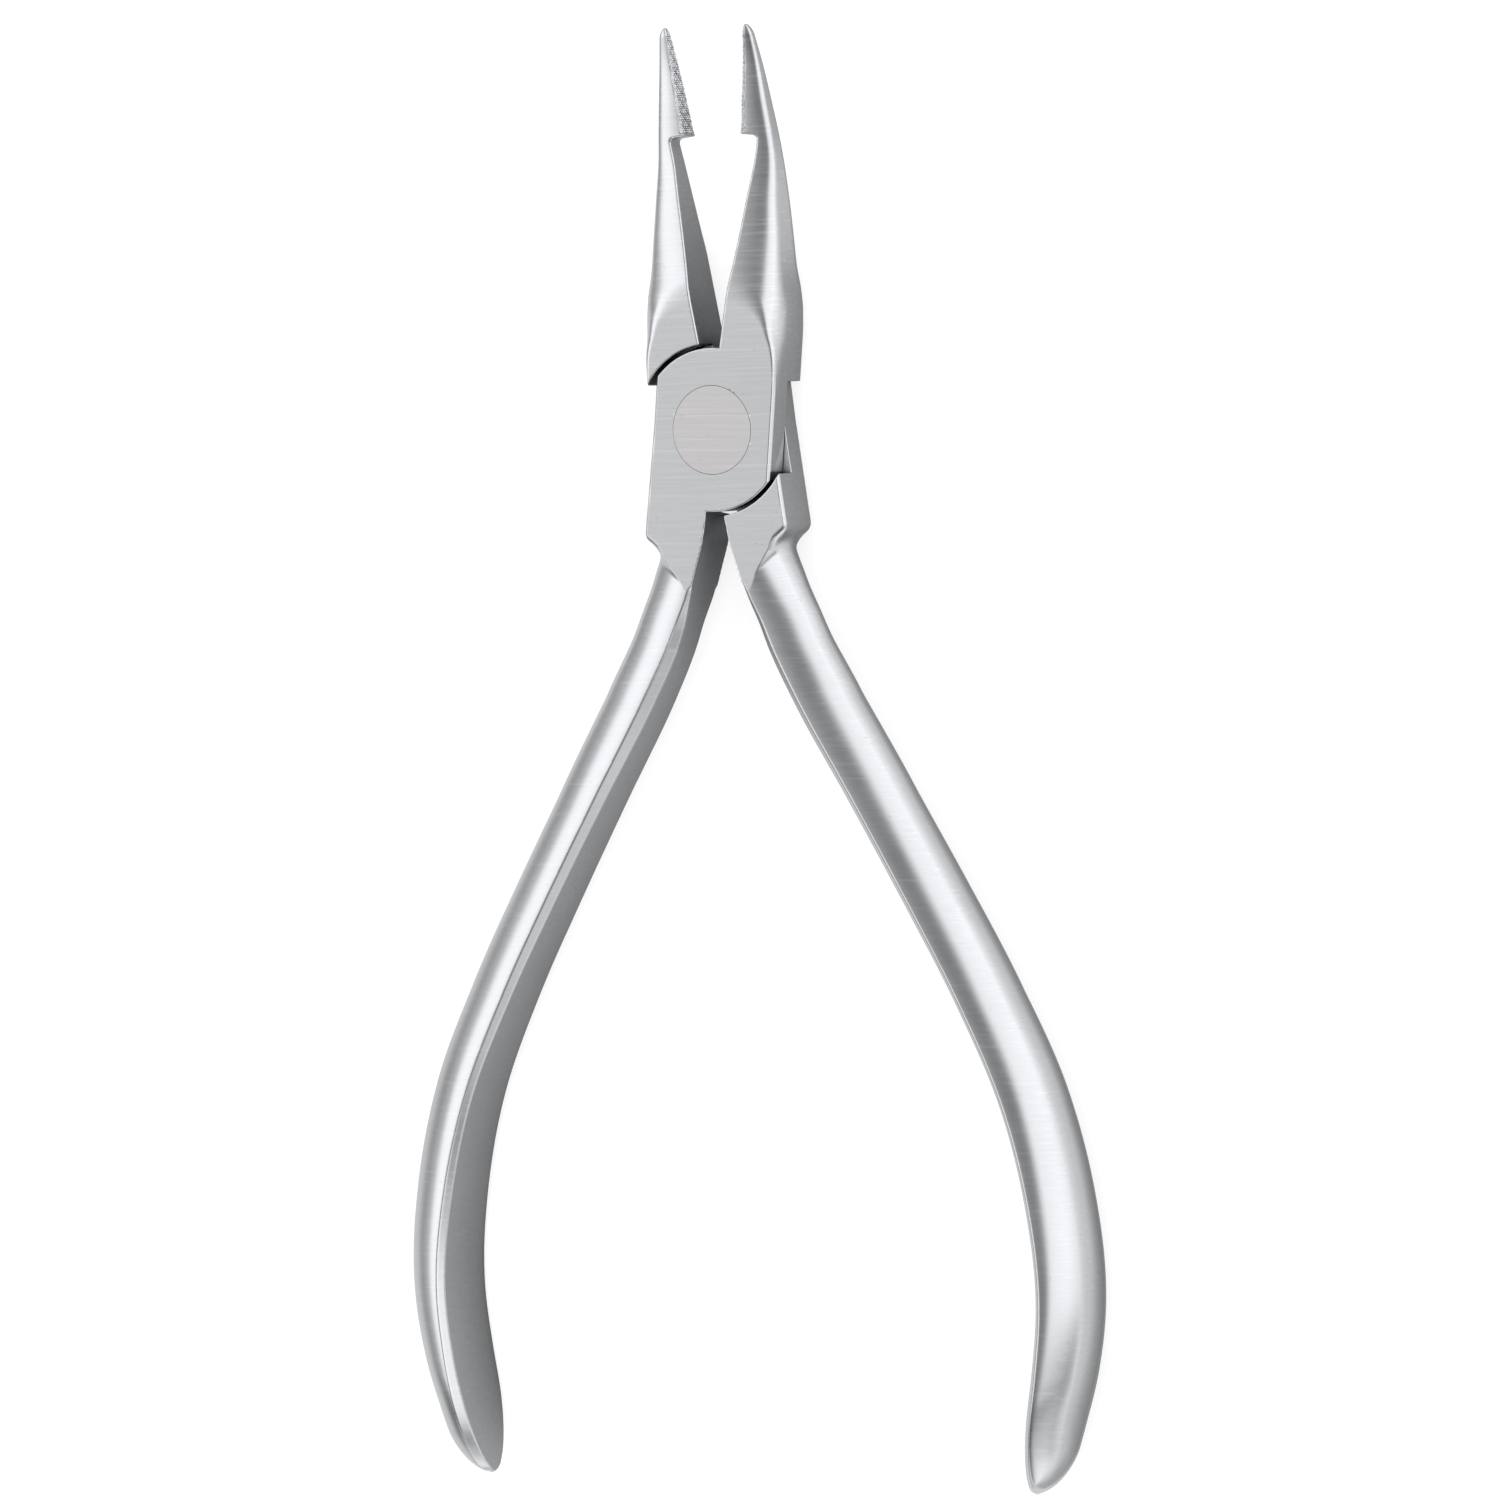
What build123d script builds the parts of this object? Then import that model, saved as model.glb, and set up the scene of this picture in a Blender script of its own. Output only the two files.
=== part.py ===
"""Small lap-joint crimping pliers with curved, pad-faced jaw tips.

Two forged halves cross at a flush pivot screw. Each half is a handle, a lap plate and a jaw in one
piece, and each jaw carries a hard gripping pad that is brazed to a seat near the tip.

Frame: the pliers lie on their back. Z is up, through the pivot screw. Y runs along the tool towards
the jaw tips and X across it. The origin is on the pivot axis at the flat back of the rear lap plate.

Each half is drawn with the pliers closed, handle on -X and jaw on +X, its mid-plane at z = 0. The
rear half is the same forging turned over about Y. Both are then swung open to the rest pose.
"""

import os

from build123d import *

# Joint, millimetres
JOINT_THICKNESS = 5.24
LAP_GAP = 0.04
LAP_RADIUS = 7.8
SHOULDER_RADIUS = 8.2
PLATE_HALF_WIDTH = 6.5
BLOCK_END_Y = -11.0
NECK_INNER = (-1.1, -14.6)
NECK_MIDDLE = (-3.9, -12.5)
JAW_ROOT_Y = 10.5
JAW_ROOT_SLOPE = 1.5

# Pivot screw
HEAD_DIAMETER = 8.4
HEAD_DEPTH = 1.3
SHANK_DIAMETER = 5.2
SCREW_CLEARANCE = 0.03

# Each station of a limb: x and y of its flat inner edge, height of its middle, width, thickness
HANDLE_STATIONS = (
    (-0.12, -8.6, 0.0, 5.2, 5.2),
    (-1.10, -14.6, 0.0, 5.3, 5.1),
    (-2.75, -21.5, 0.0, 5.75, 5.3),
    (-4.75, -26.6, 0.0, 5.75, 5.85),
    (-14.05, -46.7, 0.0, 5.45, 6.75),
    (-21.75, -66.7, 0.0, 5.4, 7.6),
    (-23.20, -76.0, 0.0, 5.3, 8.2),
    (-23.15, -86.0, 0.0, 4.9, 8.9),
    (-21.85, -92.0, 0.0, 4.55, 9.1),
    (-20.35, -97.0, 0.0, 4.0, 8.2),
    (-19.30, -101.0, 0.0, 3.2, 6.6),
    (-18.70, -103.35, 0.0, 1.8, 3.6),
)
HANDLE_BEVEL = 0.6
HANDLE_SHOULDER = (0.83, 0.50)
PAD_GAP = 0.03
JAW_STATIONS = (
    (PAD_GAP, 7.0, 0.20, 6.5, 6.3),
    (PAD_GAP, 12.5, 0.33, 6.3, 4.85),
    (PAD_GAP, 17.5, 0.05, 5.65, 3.6),
    (PAD_GAP, 22.5, -0.25, 4.8, 2.8),
    (PAD_GAP, 27.5, -0.40, 3.75, 2.1),
    (PAD_GAP, 31.5, 0.00, 2.75, 1.75),
    (PAD_GAP, 35.0, 0.55, 1.85, 1.3),
    (PAD_GAP, 38.65, 1.35, 0.8, 0.85),
)
JAW_BEVEL = 0.12
JAW_SHOULDER = (0.86, 0.62)

# Gripping pad and the relief below it
PAD_START_Y = 28.4
PAD_THICKNESS_START = 0.88
PAD_THICKNESS_END = 0.30
SEAT_STEP = 0.3
RELIEF_START = (0.2, 8.1)
RELIEF_END = (1.66, 26.6)
RELIEF_CORNER = 0.9
RELIEF_OUTSIDE_X = -2.0

# Rest pose: each half is swung open by this much
OPEN_ANGLE = 6.1

BIG = 60.0
HALF_THICKNESS = JOINT_THICKNESS / 2


def limb_directions(stations):
    """Unit directions along a limb's inner edge, one for each station."""
    points = [Vector(x, y) for x, y, *_ in stations]
    directions = []
    for i in range(len(points)):
        before = points[max(i - 1, 0)]
        after = points[min(i + 1, len(points) - 1)]
        directions.append((after - before).normalized())
    return directions


def d_section(plane, width, thickness, bevel, shoulder):
    """A flat inner side, bevelled edges and a rounded outer side with a soft shoulder."""
    high = thickness / 2
    flat = high - bevel
    shoulder_out = shoulder[0] * width
    shoulder_up = shoulder[1] * high
    inner = Polyline((bevel, -high), (0, -flat), (0, flat), (bevel, high))
    outer = Spline(
        (bevel, high),
        (shoulder_out, shoulder_up),
        (width, 0),
        (shoulder_out, -shoulder_up),
        (bevel, -high),
        tangents=((1, -0.1), (-1, -0.1)),
    )
    return plane * make_face(Curve() + [inner, outer])


def limb(stations, outward, bevel, shoulder, bend=1):
    """A handle or a jaw, lofted through its stations. outward is the side that its back is on."""
    sections = []
    for (x, y, z, width, thickness), along in zip(stations, limb_directions(stations)):
        across = Vector(-along.Y, along.X)
        if across.X * outward < 0:
            across = across * -1
        plane = Plane(
            origin=(x, y, bend * z),
            x_dir=across,
            z_dir=across.cross(Vector(0, 0, 1)),
        )
        edge = min(bevel, thickness / 4)
        sections.append(d_section(plane, width, thickness, edge, shoulder))
    return loft(sections)


def slab(outline, low, high):
    """A plan outline extruded between two heights."""
    return Pos(0, 0, low) * extrude(outline, high - low)


def disc(radius, low, high):
    """A cylinder on the pivot axis between two heights."""
    return Pos(0, 0, low) * Cylinder(
        radius, high - low, align=(Align.CENTER, Align.CENTER, Align.MIN)
    )


def plate_outline():
    """Plan of the joint: lap plate with its two arcs, jaw root and handle block."""
    rise = (LAP_RADIUS**2 - PLATE_HALF_WIDTH**2) ** 0.5
    edges = [
        Line((-PLATE_HALF_WIDTH, BLOCK_END_Y), (-PLATE_HALF_WIDTH, rise)),
        RadiusArc((-PLATE_HALF_WIDTH, rise), (PAD_GAP, LAP_RADIUS), LAP_RADIUS),
        Polyline(
            (PAD_GAP, LAP_RADIUS),
            (PAD_GAP, JAW_ROOT_Y),
            (PLATE_HALF_WIDTH, JAW_ROOT_Y - JAW_ROOT_SLOPE),
            (PLATE_HALF_WIDTH, -rise),
        ),
        RadiusArc((PLATE_HALF_WIDTH, -rise), (-PAD_GAP, -LAP_RADIUS), LAP_RADIUS),
        Line((-PAD_GAP, -LAP_RADIUS), (HANDLE_STATIONS[0][0], -SHOULDER_RADIUS)),
        Line((HANDLE_STATIONS[0][0], -SHOULDER_RADIUS), NECK_INNER),
        ThreePointArc(NECK_INNER, NECK_MIDDLE, (-PLATE_HALF_WIDTH, BLOCK_END_Y)),
    ]
    return make_face(edges)


def relief_outline():
    """Plan of the gap ground into a jaw's inner side, below the gripping pad."""
    top = PAD_START_Y - SEAT_STEP
    corner_start = (RELIEF_END[0] - RELIEF_CORNER, top)
    outer_top = (RELIEF_OUTSIDE_X, top)
    outer_low = (RELIEF_OUTSIDE_X, RELIEF_START[1])
    edges = [
        Polyline(outer_low, RELIEF_START, RELIEF_END),
        TangentArc(corner_start, RELIEF_END, tangent=(1, 0)),
        Polyline(corner_start, outer_top, outer_low),
    ]
    return make_face(edges)


def pad_outline():
    """Plan of the gripping pad, larger than the jaw so that the jaw trims it."""
    end_y = JAW_STATIONS[-1][1] + 1
    return make_face(
        Polyline(
            (RELIEF_OUTSIDE_X, PAD_START_Y),
            (PAD_THICKNESS_START, PAD_START_Y),
            (PAD_THICKNESS_END, end_y),
            (RELIEF_OUTSIDE_X, end_y),
            close=True,
        )
    )


def closed_half(bend):
    """One half in the closed pose, and its gripping pad. bend is the side its jaw curves to."""
    plate = slab(plate_outline(), -HALF_THICKNESS, HALF_THICKNESS)
    room = slab(Rectangle(BIG, 2 * BIG), -HALF_THICKNESS, HALF_THICKNESS)
    jaw = limb(JAW_STATIONS, 1, JAW_BEVEL, JAW_SHOULDER, bend) & room
    handle = limb(HANDLE_STATIONS, -1, HANDLE_BEVEL, HANDLE_SHOULDER)
    pad_space = slab(pad_outline(), -BIG, BIG)
    pad = jaw & pad_space
    body = plate + jaw - pad_space
    body -= slab(relief_outline(), -BIG, BIG)
    body += handle
    body -= disc(SHOULDER_RADIUS, -BIG, LAP_GAP / 2)
    return body, pad


def pivot_screw():
    """Flush round head in the front half, and a shank fixed in the rear half."""
    head = disc(HEAD_DIAMETER / 2, HALF_THICKNESS - HEAD_DEPTH, HALF_THICKNESS)
    return head + disc(SHANK_DIAMETER / 2, -HALF_THICKNESS, HALF_THICKNESS)


def screw_hole(clearance):
    """The screw's own shape, wider by the clearance and deeper under its head."""
    head = disc(
        HEAD_DIAMETER / 2 + clearance, HALF_THICKNESS - HEAD_DEPTH - clearance, BIG
    )
    return head + disc(SHANK_DIAMETER / 2 + clearance, -BIG, BIG)


def at_rest(shape, turn, turned_over=False):
    """Swings a half to its rest pose and lifts its back to z = 0."""
    if turned_over:
        shape = Rot(0, 180, 0) * shape
    return Pos(0, 0, HALF_THICKNESS) * Rot(0, 0, turn) * shape


def main():
    front_body, front_pad = closed_half(1)
    rear_body, rear_pad = closed_half(-1)
    front_body -= screw_hole(SCREW_CLEARANCE)
    rear_body -= disc(SHANK_DIAMETER / 2, -BIG, BIG)
    nodes = {
        "front_half": at_rest(front_body, -OPEN_ANGLE),
        "front_jaw_insert": at_rest(front_pad, -OPEN_ANGLE),
        "rear_half": at_rest(rear_body, OPEN_ANGLE, turned_over=True),
        "rear_jaw_insert": at_rest(rear_pad, OPEN_ANGLE, turned_over=True),
        "pivot_screw": at_rest(pivot_screw(), OPEN_ANGLE),
    }
    os.makedirs("parts", exist_ok=True)
    for name, shape in nodes.items():
        shape.label = name
        export_step(shape, f"parts/{name}.step")


main()
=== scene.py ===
"""Looks for the crimping pliers: finely shaped steel halves, cross-cut pads, satin brushed metal."""

import math

import bpy
import numpy as np
import openvdb
from mathutils import Matrix, Vector


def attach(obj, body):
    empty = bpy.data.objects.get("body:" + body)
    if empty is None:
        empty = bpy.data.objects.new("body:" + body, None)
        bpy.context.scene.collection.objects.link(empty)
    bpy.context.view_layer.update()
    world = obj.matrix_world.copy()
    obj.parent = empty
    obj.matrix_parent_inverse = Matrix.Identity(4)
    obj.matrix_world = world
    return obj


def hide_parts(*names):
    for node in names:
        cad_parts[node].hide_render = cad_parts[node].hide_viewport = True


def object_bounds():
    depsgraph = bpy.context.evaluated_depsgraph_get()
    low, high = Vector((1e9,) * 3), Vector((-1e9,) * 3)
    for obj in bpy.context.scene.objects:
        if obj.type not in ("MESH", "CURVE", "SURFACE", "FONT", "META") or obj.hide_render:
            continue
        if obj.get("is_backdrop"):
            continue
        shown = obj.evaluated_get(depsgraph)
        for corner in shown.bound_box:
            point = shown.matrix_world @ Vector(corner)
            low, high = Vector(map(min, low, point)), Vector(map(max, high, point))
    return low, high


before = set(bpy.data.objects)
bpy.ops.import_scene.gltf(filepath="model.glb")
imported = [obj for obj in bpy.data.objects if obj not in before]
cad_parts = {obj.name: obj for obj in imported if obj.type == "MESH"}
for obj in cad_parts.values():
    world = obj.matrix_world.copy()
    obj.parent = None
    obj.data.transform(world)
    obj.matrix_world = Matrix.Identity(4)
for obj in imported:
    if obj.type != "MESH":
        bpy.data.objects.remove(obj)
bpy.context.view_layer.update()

MM = 0.001
FRONT = 1
REAR = -1

# Sizes in millimetres, in the closed pose: handle on -X, jaw on +X, mid-plane at z = 0.
HALF_THICKNESS = 2.62
LAP_GAP = 0.04
LAP_RADIUS = 7.8
SHOULDER_RADIUS = 8.2
BLOCK_SIDE = 6.42
BLOCK_SPREAD = 0.025
JAW_SIDE = 6.5
SIDE_BEVEL = 0.22
ARC_BEVEL = 0.08
JAW_EDGE_SOFT = 0.25
RELIEF_EDGE_SOFT = 0.22
SHOULDER_SOFT = 0.08
HEAD_RADIUS = 4.245
HEAD_DEPTH = 1.33
SHANK_RADIUS = 2.62
PAD_GAP = 0.03
OPEN_ANGLE = math.radians(6.1)

# Handle: y, x of the flat inner side, width, half thickness, bevel of the inner edges
HANDLE = (
    (-8.6, -0.12, 4.9, 3.30, 0.12),
    (-11.0, -0.35, 5.0, 3.10, 0.12),
    (-12.9, -0.75, 5.05, 2.91, 0.15),
    (-14.3, -1.04, 5.2, 2.73, 0.20),
    (-16.4, -1.45, 5.4, 2.58, 0.35),
    (-18.5, -1.95, 5.6, 2.50, 0.62),
    (-21.5, -2.75, 5.75, 2.65, 0.80),
    (-26.6, -4.75, 5.75, 2.92, 0.85),
    (-36.6, -9.45, 5.5, 3.15, 0.75),
    (-46.7, -14.05, 5.45, 3.38, 0.68),
    (-56.5, -18.25, 5.4, 3.55, 0.60),
    (-66.7, -21.75, 5.4, 3.80, 0.52),
    (-76.0, -23.2, 5.3, 4.10, 0.57),
    (-86.0, -23.15, 4.9, 4.45, 0.60),
    (-92.0, -21.85, 4.55, 4.55, 0.66),
    (-97.0, -20.35, 4.0, 4.55, 0.80),
    (-104.0, -18.3, 3.3, 4.55, 0.85),
)
HANDLE_END_Y = -103.65
HANDLE_END_SOFT = 0.8
END_LENGTH_THICK = 9.5
END_LENGTH_WIDE = 4.2
BLUNT_END = 0.98
CREASE_SOFT = 0.06
INNER_EDGE_SOFT = 0.12

# Shares of the handle's width and half thickness, for the crease between crown and outer side
CREASE_OUT = 0.865
CREASE_UP = 0.565
CROWN_WIDTH = 1.05

# The full-thickness block below the joint, and how its ground faces run out into the handle
BLOCK_END_Y = {FRONT: -11.2, REAR: -10.6}
BLOCK_END_SLOPE = 0.62
BLOCK_END_SOFT = 0.8
COVE_RADIUS = 1.3
RUN_OUT_Y = -17
RUN_OUT_RISE = 0.2

# Jaw: y, width, lean of the outer side, height of the front face, height of the back
JAW = (
    (0.0, 6.9, 0.00, 9.00, -12.0),
    (6.0, 6.9, 0.00, 5.50, -9.00),
    (8.0, 6.9, 0.00, 4.45, -7.50),
    (10.0, 6.68, 0.00, 3.54, -6.20),
    (12.0, 6.42, 0.02, 2.87, -4.90),
    (13.7, 6.18, 0.06, 2.55, -3.90),
    (15.3, 6.0, 0.13, 2.18, -3.20),
    (18.5, 5.65, 0.24, 1.60, -2.50),
    (22.0, 5.02, 0.29, 1.10, -2.15),
    (26.5, 3.95, 0.24, 0.50, -1.75),
    (28.5, 3.45, 0.18, 0.64, -1.50),
    (31.0, 2.82, 0.15, 0.86, -1.05),
    (35.0, 1.82, 0.13, 1.14, -0.15),
    (38.7, 0.82, 0.10, 1.68, 0.90),
)
JAW_TAPER = 0.33
ROOT_SQUARENESS = 3.0
JAW_SQUARENESS = 9.0
SQUARING_START = 9.0
SQUARING_LENGTH = 9.0
JAW_END_Y = 39.2
JAW_END_SOFT = 1.6
INNER_SIDE_SOFT = 0.1
PAD_START_Y = 28.4
PAD_THICKNESS_START = 0.45
PAD_THICKNESS_END = 0.24
SEAT_STEP = 0.3
RELIEF_START = (0.2, 8.1)
RELIEF_END = (1.66, 26.6)
RELIEF_CORNER = 0.6
TOOTH_PITCH = 0.42
TOOTH_DEPTH = 0.15
TOOTH_SOFT = 0.02

HALF_STEP = 0.12
HANDLE_STEP = 2.4 * HALF_STEP
PAD_STEP = 0.045
FINE_FROM_Y = -19
GRID_MARGIN = 0.3
HALF_ACROSS = (-31, 7.2)
HALF_UP = 5
PAD_ACROSS = (-0.3, 1.4)
PAD_UP = 2.4

# Reaches and places in metres
EDGE_WEAR_REACH = 0.00018
# Reach of the painted shade in tight corners
CORNER_SHADE_REACH = 0.0025
# Reach, start and full strength of the painted shade between the handles below the joint
JOINT_SHADE_REACH = 0.016
JOINT_SHADE_FROM_Y = -0.008
JOINT_SHADE_FULL_Y = -0.011
HANDLE_BRUSH_Y = -0.026
JOINT_BRUSH_Y = -0.014
BRUSH_DEPTH = 0.0000007
GRAIN_DEPTH = 0.000002

# Marks on the steel: features in a metre along each axis
BRUSH_LINES = (140, 6200, 1400)
BRUSH_STROKES = (110, 3400, 900)
CLOUDS = (90, 70, 90)
PITS = (2600, 2600, 2600)
GRAIN = (5200, 5200, 5200)

# The studio, in metres: the floor, and how far from the tool its mirror image is still shaded
FLOOR_SIZE = 3
FLOOR_SHADE_REACH = 0.012


def smooth_curve(stations, column):
    """A smooth function of y through one column of a limb's stations."""
    rows = sorted(stations)
    at = np.array([row[0] for row in rows])
    value = np.array([row[column] for row in rows])
    slope = np.gradient(value, at)

    def curve(y):
        i = np.clip(np.searchsorted(at, y) - 1, 0, len(at) - 2)
        span = at[i + 1] - at[i]
        t = np.clip((y - at[i]) / span, 0, 1)
        start = (1 + 2 * t) * (1 - t) ** 2 * value[i]
        leave = t * (1 - t) ** 2 * span * slope[i]
        reach = t * t * (3 - 2 * t) * value[i + 1]
        arrive = t * t * (t - 1) * span * slope[i + 1]
        return start + leave + reach + arrive

    return curve


handle_inner = smooth_curve(HANDLE, 1)
handle_width = smooth_curve(HANDLE, 2)
handle_high = smooth_curve(HANDLE, 3)
handle_bevel = smooth_curve(HANDLE, 4)
jaw_width = smooth_curve(JAW, 1)
jaw_lean = smooth_curve(JAW, 2)
jaw_front = smooth_curve(JAW, 3)
jaw_back = smooth_curve(JAW, 4)


def both(a, b, soft=0.05):
    """The space inside both fields, with the edge rounded over about soft."""
    near = np.maximum(soft - np.abs(a - b), 0)
    return np.maximum(a, b) + near * near / (4 * soft)


def either(a, b, soft):
    """The space inside either field, with the corner filled over about soft."""
    return -both(-a, -b, soft)


def without(a, b, soft=0.05):
    """The space inside a and outside b."""
    return both(a, -b, soft)


def bevelled(a, b, width):
    """The space inside both fields, with the edge between them cut at 45 degrees."""
    cut = (a + b + width) * math.sqrt(0.5)
    return np.maximum(np.maximum(a, b), cut)


def handle_section(u, v, width, high, bevel):
    """Flat inner side at u = 0, bevelled edges, elliptical front and back, flatter outer side.

    The factors on crown and side bring their slopes near 1, so that both is even.
    """
    crease_out = CREASE_OUT * width
    crease_up = CREASE_UP * high
    crown = (np.sqrt((u / (CROWN_WIDTH * width)) ** 2 + (v / high) ** 2) - 1) * high * 0.9
    side = (u - width + (width - crease_out) * (v / crease_up) ** 2) * 0.87
    edge = (v - u - high + bevel) * math.sqrt(0.5)
    shape = both(crown, side, CREASE_SOFT)
    shape = both(shape, edge, INNER_EDGE_SOFT)
    return both(shape, -u, INNER_EDGE_SOFT)


def end_factor(y, length):
    """1 along the handle, falling as a quarter ellipse of that length to a small blunt end."""
    into = np.clip((HANDLE_END_Y + length - y) / length, 0, BLUNT_END)
    return np.sqrt(1 - into * into)


def inner_distance(x, y):
    """How far outward a point is from the handle's flat inner side."""
    slope = handle_inner(y + 0.5) - handle_inner(y - 0.5)
    return (handle_inner(y) - x) / np.sqrt(1 + slope * slope)


def handle_field(x, y, z):
    wide = handle_width(y) * end_factor(y, END_LENGTH_WIDE)
    high = handle_high(y) * end_factor(y, END_LENGTH_THICK)
    shape = handle_section(inner_distance(x, y), np.abs(z), wide, high, handle_bevel(y))
    shape = np.maximum(shape, y + SHOULDER_RADIUS)
    return both(shape, HANDLE_END_Y - y, HANDLE_END_SOFT)


def jaw_field(x, y, z, bend):
    """Flat inner side; the rest is a squared-off ellipse that thins and leans in outwards."""
    up = bend * z
    width = jaw_width(y)
    middle = (jaw_front(y) + jaw_back(y)) / 2
    high = (jaw_front(y) - jaw_back(y)) / 2
    out = np.maximum(x + jaw_lean(y) * (up - jaw_back(y)), 0) / width
    squaring = np.clip((y - SQUARING_START) / SQUARING_LENGTH, 0, 1)
    squaring = squaring * squaring * (3 - 2 * squaring)
    thinning = 1 - JAW_TAPER * squaring * np.clip(x / width, 0, 1) ** 2
    away = np.abs(up - middle) / (high * thinning)
    power = ROOT_SQUARENESS + (JAW_SQUARENESS - ROOT_SQUARENESS) * squaring
    shape = ((out ** power + away ** power) ** (1 / power) - 1) * high
    shape = both(shape, PAD_GAP - x, INNER_SIDE_SOFT)
    shape = np.maximum(shape, -y)
    return both(shape, y - JAW_END_Y, JAW_END_SOFT)


def relief_field(x, y):
    """The gap ground into the jaw's inner side, below the pad."""
    rise = (RELIEF_END[0] - RELIEF_START[0]) / (RELIEF_END[1] - RELIEF_START[1])
    wall = x - RELIEF_START[0] - rise * (y - RELIEF_START[1])
    top = y - (PAD_START_Y - SEAT_STEP)
    return both(both(wall, top, RELIEF_CORNER), RELIEF_START[1] - 1 - y)


def pad_space_field(x, y):
    """Room for the gripping pad: everything inside its sloping seat."""
    taper = (PAD_THICKNESS_START - PAD_THICKNESS_END) / (JAW_END_Y - PAD_START_Y)
    seat = x - PAD_THICKNESS_START + taper * (y - PAD_START_Y)
    return np.maximum(seat, PAD_START_Y - y)


def block_field(x, y, z, plan, end_y):
    """The full-thickness block below the joint, running out into the handle."""
    inward = -inner_distance(x, y)
    end = end_y - y - BLOCK_END_SLOPE * (x + BLOCK_SIDE)
    block = both(np.maximum(both(plan, end, BLOCK_END_SOFT), inward), y)
    block = either(block, handle_field(x, y, z), COVE_RADIUS)
    room = np.abs(z) - HALF_THICKNESS - RUN_OUT_RISE * np.maximum(RUN_OUT_Y - y, 0)
    return np.maximum(np.maximum(block, room), both(inward, room))


def half_field(x, y, z, bend):
    """One forged half in the closed pose. bend, FRONT or REAR, is where its jaw curves to."""
    distance = np.sqrt(x * x + y * y)
    slab = np.abs(z) - HALF_THICKNESS
    block_side = -BLOCK_SIDE - x + BLOCK_SPREAD * np.minimum(y, 0)
    plan = bevelled(both(block_side, x - JAW_SIDE), slab, SIDE_BEVEL)
    jaw = both(jaw_field(x, y, z, bend), plan, JAW_EDGE_SOFT)
    jaw = without(jaw, relief_field(x, y), RELIEF_EDGE_SOFT)
    jaw = without(jaw, pad_space_field(x, y))
    body = np.minimum(jaw, block_field(x, y, z, plan, BLOCK_END_Y[bend]))
    behind_lap = z - LAP_GAP / 2
    body = without(body, np.maximum(distance - SHOULDER_RADIUS, behind_lap), SHOULDER_SOFT)
    lap = np.maximum(bevelled(distance - LAP_RADIUS, slab, ARC_BEVEL), plan)
    body = np.minimum(body, np.maximum(lap, -behind_lap))
    body = np.maximum(body, SHANK_RADIUS - distance)
    if bend == REAR:
        return body
    head = np.maximum(distance - HEAD_RADIUS, HALF_THICKNESS - HEAD_DEPTH - z)
    return np.maximum(body, -head)


def teeth(y, z):
    """Height of the cross-cut face, from 0 at a tooth's tip to 1 in the grooves."""
    one = np.abs(((y + z) / TOOTH_PITCH) % 1 - 0.5) * 2
    other = np.abs(((y - z) / TOOTH_PITCH) % 1 - 0.5) * 2
    return np.maximum(one, other)


def pad_field(x, y, z, bend):
    """The gripping pad: the jaw's own outline inside the seat, with teeth."""
    pad = both(jaw_field(x, y, z, bend), pad_space_field(x, y))
    face = PAD_GAP + TOOTH_DEPTH * teeth(y, z) - x
    return both(pad, face, TOOTH_SOFT)


class Sampling:
    """Where a field is sampled along each axis, in millimetres, and what that makes of it.

    The surface is found on a rough grid first, and only the grid near it is filled in.
    """

    # In steps of the fine grid
    ROUGH_ACROSS = 4
    ROUGH_ALONG = 6
    NEAR_STEPS = 12
    KEPT_STEPS = 4
    SPARE_STEPS = 8
    BAND_STEPS = 24
    MOVE_STEPS = 0.3
    NORMAL_STEPS = 0.6
    RIM_STEPS = 0.75

    SLOPE_REACH = 0.02
    LEAST_SLOPE = 0.5

    def __init__(self, field, x, y, z):
        self.field = field
        self.axes = (x, y, z)
        self.fine = float(min(np.diff(axis).min() for axis in self.axes))

    def value(self, points):
        return self.field(points[:, 0], points[:, 1], points[:, 2])

    def gradient(self, points, reach):
        slopes = []
        for axis in range(3):
            shift = np.zeros(3)
            shift[axis] = reach
            slopes.append((self.value(points + shift) - self.value(points - shift)) / (2 * reach))
        return np.stack(slopes, axis=1)

    def grid(self):
        """The field near its surface, filled in slice by slice along y."""
        x, y, z = self.axes
        reach = self.KEPT_STEPS * self.fine
        grid = openvdb.FloatGrid(reach)
        for j in range(0, len(y), self.BAND_STEPS):
            band = y[j : j + self.BAND_STEPS]
            rough = self.field(
                x[:: self.ROUGH_ACROSS, None, None],
                band[None, :: self.ROUGH_ALONG, None],
                z[None, None, :: self.ROUGH_ACROSS],
            )
            is_near = rough.min(axis=(1, 2)) < self.NEAR_STEPS * self.fine
            near = np.flatnonzero(is_near) * self.ROUGH_ACROSS
            if len(near) == 0:
                continue
            first = max(near[0] - self.SPARE_STEPS, 0)
            across = x[first : near[-1] + self.SPARE_STEPS + 1]
            part = self.field(across[:, None, None], band[None, :, None], z[None, None, :])
            values = np.clip(part, -reach, reach).astype(np.float32)
            grid.copyFromArray(values, ijk=(int(first), j, 0), tolerance=0)
        return grid

    def surface(self):
        """Points and faces where the field is zero, with each point moved exactly onto it."""
        points, triangles, quads = self.grid().convertToPolygons(0, 0)
        steps = [np.arange(len(axis)) for axis in self.axes]
        points = np.stack(
            [np.interp(points[:, i], steps[i], self.axes[i]) for i in range(3)], axis=1
        )
        for _ in range(3):
            slope = self.gradient(points, self.SLOPE_REACH)
            square = np.maximum((slope * slope).sum(axis=1), self.LEAST_SLOPE**2)
            move = slope * (self.value(points) / square)[:, None]
            longest = self.MOVE_STEPS * self.fine
            points -= np.clip(move, -longest, longest)
        return points, triangles.tolist() + quads.tolist()


def rest_matrix(turned_over):
    """From a closed half in millimetres to its place in the frame."""
    turn = OPEN_ANGLE if turned_over else -OPEN_ANGLE
    place = Matrix.Translation((0, 0, HALF_THICKNESS)) @ Matrix.Rotation(turn, 4, "Z")
    if turned_over:
        place = place @ Matrix.Rotation(math.pi, 4, "Y")
    return Matrix.Scale(MM, 4) @ place


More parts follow.
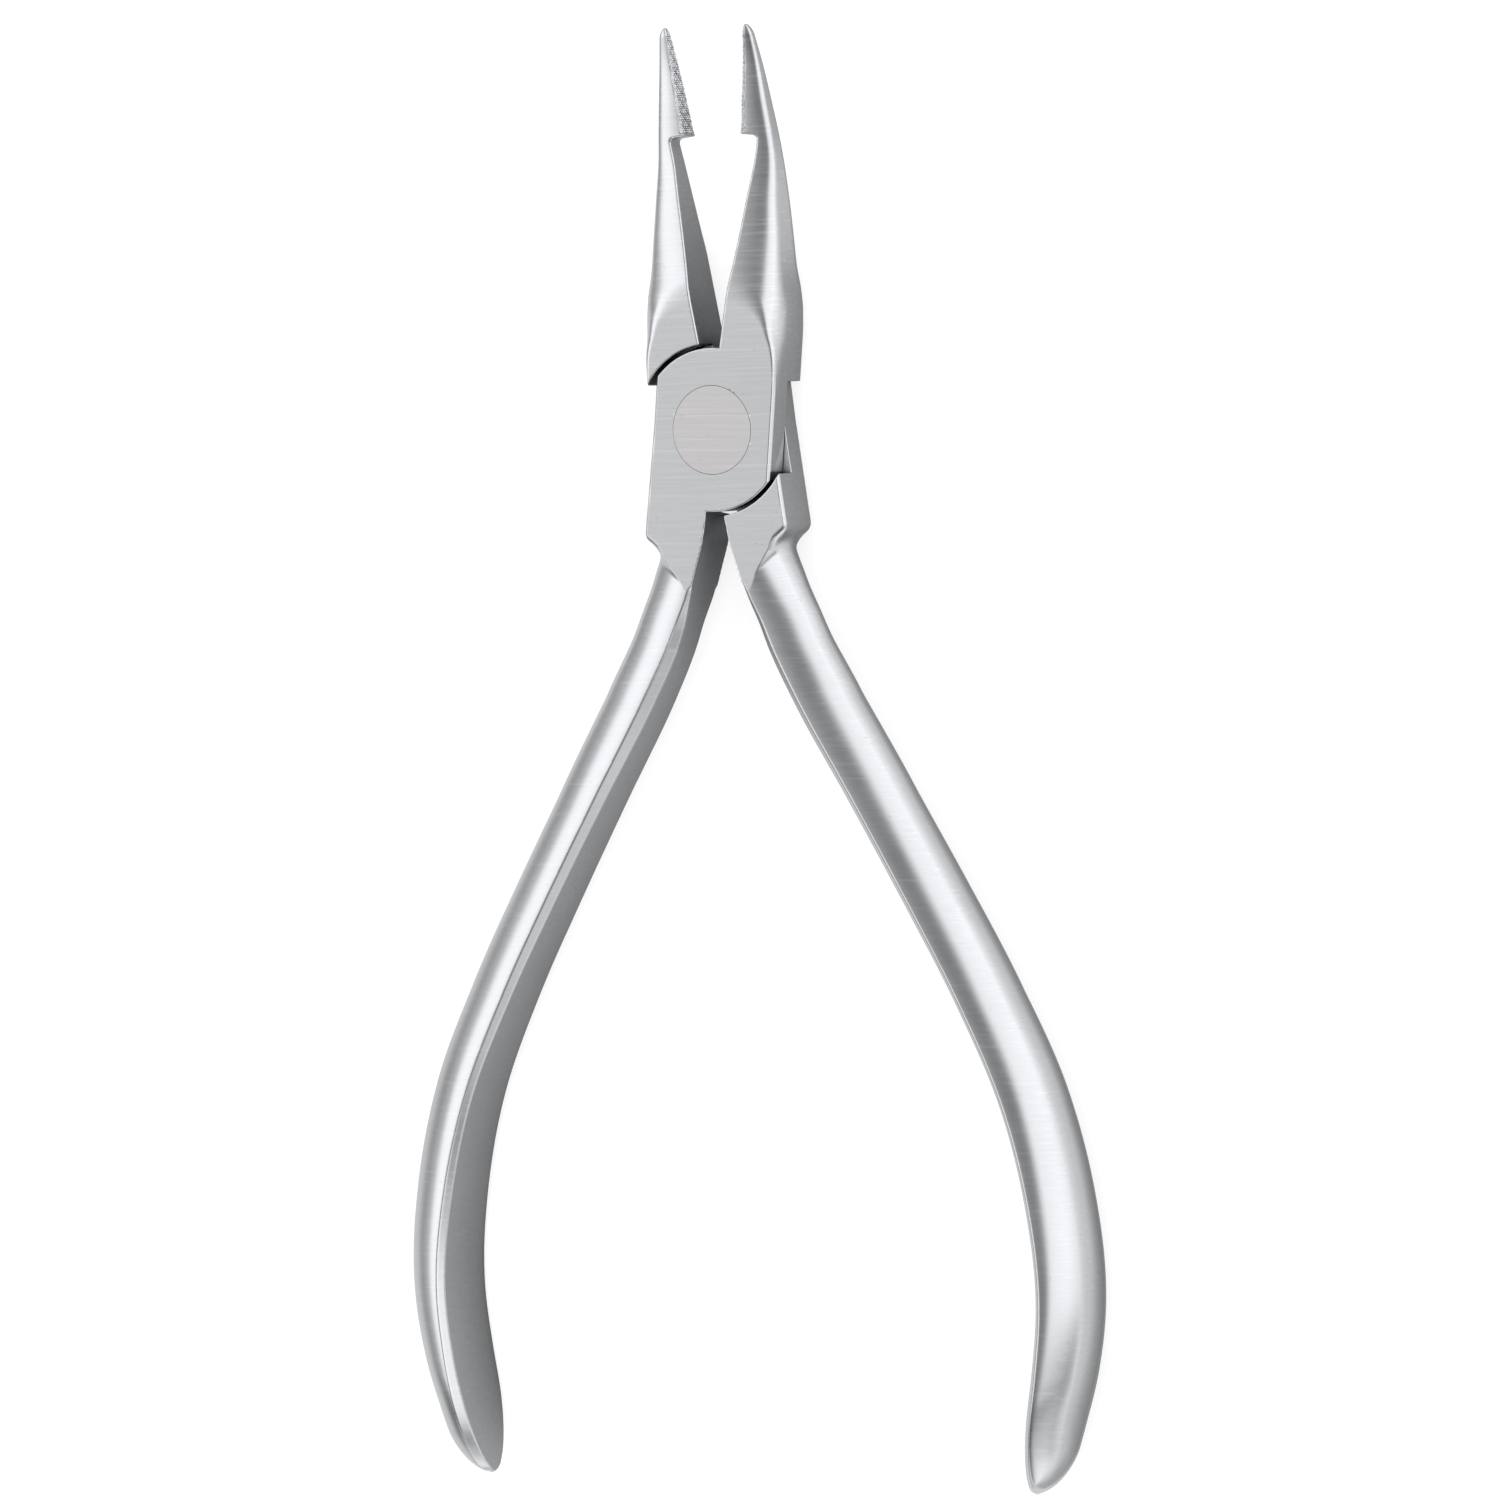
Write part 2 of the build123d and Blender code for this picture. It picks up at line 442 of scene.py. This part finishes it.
def snap_rim(points, radius, near):
    """Draws the points next to the hole's rim exactly onto it, and says which they are."""
    distance = np.hypot(points[:, 0], points[:, 1])
    at_rim = (np.abs(distance - radius) < near) & (np.abs(points[:, 2] - HALF_THICKNESS) < near)
    points[at_rim, :2] *= (radius / distance[at_rim])[:, None]
    points[at_rim, 2] = HALF_THICKNESS
    return at_rim


def field_piece(name, sampling, turned_over, material, rim=None):
    """A piece with its field's own surface and normals, in its rest place."""
    points, faces = sampling.surface()
    normals = sampling.gradient(points, sampling.NORMAL_STEPS * sampling.fine)
    if rim:
        normals[snap_rim(points, rim, sampling.RIM_STEPS * sampling.fine)] = (0, 0, 1)
    normals /= np.linalg.norm(normals, axis=1)[:, None]
    mesh = bpy.data.meshes.new(name)
    mesh.from_pydata(points.tolist(), [], faces)
    mesh.validate()
    mesh.shade_smooth()
    mesh.normals_split_custom_set_from_vertices(normals.tolist())
    mesh.transform(rest_matrix(turned_over))
    mesh.materials.append(material)
    piece = bpy.data.objects.new(name, mesh)
    bpy.context.scene.collection.objects.link(piece)
    return piece


class Nodes:
    """Short ways to add and wire the nodes of one material or world."""

    def __init__(self, tree):
        self.tree = tree

    def add(self, kind, **settings):
        node = self.tree.nodes.new("ShaderNode" + kind)
        for name, value in settings.items():
            setattr(node, name, value)
        return node

    def wire(self, value, socket):
        if isinstance(value, bpy.types.NodeSocket):
            self.tree.links.new(value, socket)
        else:
            socket.default_value = value

    def place(self):
        """Where a point is on its own piece, in metres, whatever the pose."""
        return self.add("TexCoord").outputs["Object"]

    def part(self, vector, axis):
        split = self.add("SeparateXYZ")
        self.wire(vector, split.inputs[0])
        return split.outputs[axis]

    def math(self, operation, *values):
        node = self.add("Math", operation=operation)
        for value, socket in zip(values, node.inputs):
            self.wire(value, socket)
        return node.outputs[0]

    def plus(self, start, *shares):
        """start plus each value times its share."""
        total = start
        for value, share in shares:
            total = self.math("MULTIPLY_ADD", value, share, total)
        return total

    def remap(self, value, low, high, to_low, to_high):
        node = self.add("MapRange")
        for part, socket in zip((value, low, high, to_low, to_high), node.inputs):
            self.wire(part, socket)
        return node.outputs["Result"]

    def ramp(self, factor, stops):
        """Grey levels eased between stops, each a position from 0 to 1 and a level."""
        node = self.add("ValToRGB")
        node.color_ramp.interpolation = "EASE"
        elements = node.color_ramp.elements
        while len(elements) < len(stops):
            elements.new(0.5)
        for element, (position, level) in zip(elements, stops):
            element.position = position
            element.color = (level, level, level, 1)
        self.wire(factor, node.inputs["Fac"])
        return node.outputs["Color"]

    def noise(self, per_metre, turn=0.0, detail=2.0):
        """Noise with its own number of features in a metre along each axis."""
        turned = self.add("VectorRotate", rotation_type="Z_AXIS")
        self.wire(self.place(), turned.inputs["Vector"])
        self.wire(turn, turned.inputs["Angle"])
        spread = self.add("VectorMath", operation="MULTIPLY")
        self.wire(turned.outputs[0], spread.inputs[0])
        self.wire(per_metre, spread.inputs[1])
        node = self.add("TexNoise")
        self.wire(spread.outputs[0], node.inputs["Vector"])
        self.wire(1.0, node.inputs["Scale"])
        self.wire(detail, node.inputs["Detail"])
        return node.outputs["Fac"]

    def edges(self, reach):
        """1 on outer edges and 0 on flat parts, from how the surface turns within reach."""
        edge = self.add("Bevel", samples=4)
        self.wire(reach, edge.inputs["Radius"])
        dot = self.add("VectorMath", operation="DOT_PRODUCT")
        self.wire(edge.outputs[0], dot.inputs[0])
        self.wire(self.add("NewGeometry").outputs["Normal"], dot.inputs[1])
        return self.remap(dot.outputs["Value"], 1.0, 0.90, 0.0, 1.0)

    def hollows(self, reach):
        """1 in the open, less in corners and gaps closer than reach."""
        node = self.add("AmbientOcclusion", samples=6)
        self.wire(reach, node.inputs["Distance"])
        return node.outputs["AO"]

    def blend(self, factor, first, second):
        """Between two colours; each is a tuple of three or another node's colour."""
        node = self.add("Mix", data_type="RGBA")
        self.wire(factor, node.inputs["Factor"])
        for colour, socket in ((first, node.inputs[6]), (second, node.inputs[7])):
            self.wire((*colour, 1) if isinstance(colour, tuple) else colour, socket)
        return node.outputs[2]

    def bump(self, height, metres):
        node = self.add("Bump")
        self.wire(metres, node.inputs["Distance"])
        self.wire(height, node.inputs["Height"])
        return node.outputs[0]

    def mix(self, factor, first, second):
        """Between two shaders."""
        node = self.add("MixShader")
        for value, socket in zip((factor, first, second), node.inputs):
            self.wire(value, socket)
        return node.outputs[0]


def new_material(name):
    """A material, its nodes and its main shader."""
    material = bpy.data.materials.new(name)
    material.use_nodes = True
    return material, Nodes(material.node_tree), material.node_tree.nodes["Principled BSDF"]


def tinted(colour, level):
    return tuple(part * level for part in colour)


def brush_marks(nodes, turn):
    """Fine lines across the tool with longer strokes among them; weaker on the handles."""
    lines = nodes.noise(BRUSH_LINES, turn, 3)
    strokes = nodes.remap(nodes.noise(BRUSH_STROKES, turn, 3), 0.56, 0.72, 0.0, 0.5)
    marks = nodes.math("SUBTRACT", nodes.math("ADD", strokes, lines), 0.56)
    along = nodes.part(nodes.place(), "Y")
    strength = nodes.remap(along, HANDLE_BRUSH_Y, JOINT_BRUSH_Y, 0.65, 1.0)
    return nodes.math("MULTIPLY", marks, strength)


def with_painted_shade(nodes, tone, colour):
    """The tone with painted shade: darker in tight corners and where the handles face each other
    near the joint.
    """
    # Painted shade: the colour darkens in tight corners and narrow gaps
    openness = nodes.remap(nodes.hollows(CORNER_SHADE_REACH), 0.35, 0.85, 0.0, 1.0)
    tone = nodes.blend(openness, tinted(colour, 0.35), tone)
    # Painted shade: the colour goes nearly black where the handles face each other below the joint
    joint_shade = nodes.remap(nodes.hollows(JOINT_SHADE_REACH), 0.30, 0.62, 0.62, 0.0)
    along = nodes.part(nodes.place(), "Y")
    below_joint = nodes.remap(along, JOINT_SHADE_FROM_Y, JOINT_SHADE_FULL_Y, 0.0, 1.0)
    return nodes.blend(nodes.math("MULTIPLY", joint_shade, below_joint), tone, tinted(colour, 0.1))


def brushed_steel(name, colour, roughness, turn=0.0):
    """Satin steel: brush lines, soft clouding, small pits, brighter, polished edges, and painted
    shade in corners and near the joint.
    """
    material, nodes, shader = new_material(name)
    brush = brush_marks(nodes, turn)
    clouds = nodes.remap(nodes.noise(CLOUDS, 0, 3), 0.3, 0.7, -1.0, 1.0)
    pits = nodes.remap(nodes.noise(PITS, 0, 1), 0.70, 0.78, 0.0, 1.0)
    worn = nodes.edges(EDGE_WEAR_REACH)

    rough = nodes.plus(roughness, (brush, 0.10), (clouds, 0.03), (worn, -0.05))
    shade = nodes.plus(0.5, (brush, 0.9), (clouds, 0.15), (worn, 0.5), (pits, -0.5))
    tone = nodes.blend(shade, tinted(colour, 0.91), tinted(colour, 1.10))
    height = nodes.plus(brush, (pits, -0.4))
    nodes.wire(with_painted_shade(nodes, tone, colour), shader.inputs["Base Color"])
    nodes.wire(1.0, shader.inputs["Metallic"])
    nodes.wire(rough, shader.inputs["Roughness"])
    nodes.wire(nodes.bump(height, BRUSH_DEPTH), shader.inputs["Normal"])
    return material


def pad_steel_material():
    """Hard grey steel with a fine grain, painted highlight on the tooth tips and painted shade in
    the grooves.
    """
    colour = (0.62, 0.63, 0.65)
    material, nodes, shader = new_material("pad_steel")
    lines = nodes.math("MULTIPLY", nodes.noise(BRUSH_LINES, 0, 2), 0.8)
    marks = nodes.plus(lines, (nodes.noise(GRAIN, 0, 3), 0.2))
    # Painted highlight on sharp tooth tips and painted shade in the grooves, from how the surface
    # bends
    sharpness = nodes.add("NewGeometry").outputs["Pointiness"]
    tip_highlight_groove_shade = nodes.remap(sharpness, 0.46, 0.54, -1.0, 1.0)
    shade = nodes.plus(nodes.remap(marks, 0.3, 0.7, 0.32, 0.50), (tip_highlight_groove_shade, 0.5))
    tone = nodes.blend(shade, tinted(colour, 0.12), tinted(colour, 1.60))
    nodes.wire(tone, shader.inputs["Base Color"])
    nodes.wire(1.0, shader.inputs["Metallic"])
    nodes.wire(nodes.remap(marks, 0.3, 0.7, 0.18, 0.30), shader.inputs["Roughness"])
    nodes.wire(nodes.bump(marks, GRAIN_DEPTH), shader.inputs["Normal"])
    return material


forged = brushed_steel("forged_steel", (0.66, 0.67, 0.69), 0.20)
screw_steel = brushed_steel("screw_steel", (0.70, 0.685, 0.69), 0.20, turn=0.03)
pad_steel = pad_steel_material()


def half_sampling(bend):
    """Fine from the neck to the tips; along the handle, coarser in y than across."""
    handle = np.arange(HANDLE_END_Y - 1, FINE_FROM_Y, HANDLE_STEP)
    joint_and_jaw = np.arange(FINE_FROM_Y, JAW_END_Y + GRID_MARGIN, HALF_STEP)
    lengthwise = np.concatenate((handle, joint_and_jaw))
    across = np.arange(*HALF_ACROSS, HALF_STEP)
    upward = np.arange(-HALF_UP, HALF_UP + HALF_STEP, HALF_STEP)
    return Sampling(lambda x, y, z: half_field(x, y, z, bend), across, lengthwise, upward)


def pad_sampling(bend):
    across = np.arange(*PAD_ACROSS, PAD_STEP)
    lengthwise = np.arange(PAD_START_Y - GRID_MARGIN, JAW_END_Y + GRID_MARGIN, PAD_STEP)
    upward = np.arange(-PAD_UP, PAD_UP, PAD_STEP)
    return Sampling(lambda x, y, z: pad_field(x, y, z, bend), across, lengthwise, upward)


for side, bend, rim in (("front", FRONT, HEAD_RADIUS), ("rear", REAR, SHANK_RADIUS)):
    turned_over = bend == REAR
    half = field_piece(side + "_half_steel", half_sampling(bend), turned_over, forged, rim)
    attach(half, side + "_body")
    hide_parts(side + "_half")
    pad = field_piece(side + "_pad_teeth", pad_sampling(bend), turned_over, pad_steel)
    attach(pad, side + "_body")
    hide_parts(side + "_jaw_insert")

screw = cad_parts["pivot_screw"]
screw.data.materials.clear()
screw.data.materials.append(screw_steel)


# Light from around the tool's length: degrees about the Y axis from straight overhead, and level
LIGHT_BANDS = (
    (-150, 0.87),
    (-100, 0.75),
    (-77, 0.42),
    (-62, 0.62),
    (-53, 1.45),
    (-42, 1.5),
    (-34, 0.92),
    (-28, 0.83),
    (-20, 0.42),
    (-12, 0.27),
    (-3, 0.27),
    (9, 1.3),
    (40, 1.4),
    (72, 1.15),
    (90, 0.94),
    (110, 0.78),
    (150, 0.52),
)

# How much of the light from overhead is missing, by how far its direction leans along Y
OVERHEAD_LOSS = ((-0.9, 0.15), (-0.6, 0.45), (-0.4, 0.68), (-0.1, 0.0))
OVERHEAD_FULL_Z = 0.4


def light_around(nodes, direction):
    """Long soft boxes beside the tool, as bands of angle about the Y axis."""
    angle = nodes.math("ARCTAN2", nodes.part(direction, "X"), nodes.part(direction, "Z"))
    turn = nodes.remap(angle, -math.pi, math.pi, 0.0, 1.0)
    return nodes.ramp(turn, [((degrees + 180) / 360, level) for degrees, level in LIGHT_BANDS])


def light_strength(nodes, direction):
    """Full, but for overhead directions towards -Y, where the boxes end short of the handles."""
    lean = nodes.math("MULTIPLY_ADD", nodes.part(direction, "Y"), 0.5, 0.5)
    loss = nodes.ramp(lean, [((y + 1) / 2, lost) for y, lost in OVERHEAD_LOSS])
    overhead = nodes.remap(nodes.part(direction, "Z"), 0.0, OVERHEAD_FULL_Z, 0.0, 1.0)
    return nodes.math("SUBTRACT", 1.0, nodes.math("MULTIPLY", loss, overhead))


def studio_world():
    """The light around the tool; the camera itself sees plain white."""
    world = bpy.data.worlds.new("studio")
    bpy.context.scene.world = world
    world.use_nodes = True
    world.node_tree.nodes.clear()
    nodes = Nodes(world.node_tree)
    direction = nodes.add("TexCoord").outputs["Generated"]
    light = nodes.add("Background")
    nodes.wire(light_around(nodes, direction), light.inputs["Color"])
    nodes.wire(light_strength(nodes, direction), light.inputs["Strength"])
    plain = nodes.add("Background")
    nodes.wire((1, 1, 1, 1), plain.inputs["Color"])
    seen = nodes.add("LightPath").outputs["Is Camera Ray"]
    surface = nodes.mix(seen, light.outputs[0], plain.outputs[0])
    nodes.wire(surface, nodes.add("OutputWorld").inputs["Surface"])


def pale_floor_material():
    """Pale and matt. Seen in the steel it is clear, but for the shade close to the tool."""
    material, nodes, shader = new_material("pale_floor")
    nodes.wire((0.5, 0.5, 0.5, 1), shader.inputs["Base Color"])
    nodes.wire(1.0, shader.inputs["Roughness"])
    nodes.wire(0.0, shader.inputs["Specular IOR Level"])
    nodes.wire((1, 1, 1, 1), shader.inputs["Emission Color"])
    nodes.wire(0.75, shader.inputs["Emission Strength"])
    shade = nodes.add("AmbientOcclusion", samples=8)
    nodes.wire(FLOOR_SHADE_REACH, shade.inputs["Distance"])
    mirrored = nodes.add("BsdfTransparent")
    nodes.wire(shade.outputs["Color"], mirrored.inputs["Color"])
    in_steel = nodes.add("LightPath").outputs["Is Glossy Ray"]
    surface = nodes.mix(in_steel, shader.outputs[0], mirrored.outputs[0])
    nodes.wire(surface, material.node_tree.nodes["Material Output"].inputs["Surface"])
    return material


def floor():
    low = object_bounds()[0]
    bpy.ops.mesh.primitive_plane_add(size=FLOOR_SIZE, location=(0, 0, low[2]))
    plane = bpy.context.object
    plane.name = "floor"
    plane.data.materials.append(pale_floor_material())
    plane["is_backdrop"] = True


def camera():
    """Looks down at the tool from its right, with a long lens, rolled a little."""
    azimuth = math.radians(29)
    lift = math.radians(2.8)
    roll = math.radians(1.9)
    distance = 0.810
    target = Vector((0.00155, -0.0306, HALF_THICKNESS * MM))
    back = Vector(
        (math.sin(azimuth) * math.cos(lift), math.sin(lift), math.cos(azimuth) * math.cos(lift))
    )
    right = Vector((math.cos(azimuth), 0, -math.sin(azimuth)))
    up = back.cross(right)
    top = up * math.cos(roll) + right * math.sin(roll)
    side = top.cross(back)
    data = bpy.data.cameras.new("camera")
    data.sensor_width = 36
    data.lens = 204
    data.clip_end = 20
    eye = bpy.data.objects.new("camera", data)
    eye.matrix_world = Matrix.Translation(target + back * distance) @ Matrix(
        (side, top, back)
    ).transposed().to_4x4()
    bpy.context.scene.collection.objects.link(eye)
    bpy.context.scene.camera = eye


studio_world()
floor()
camera()
bpy.context.scene.view_settings.view_transform = "Standard"
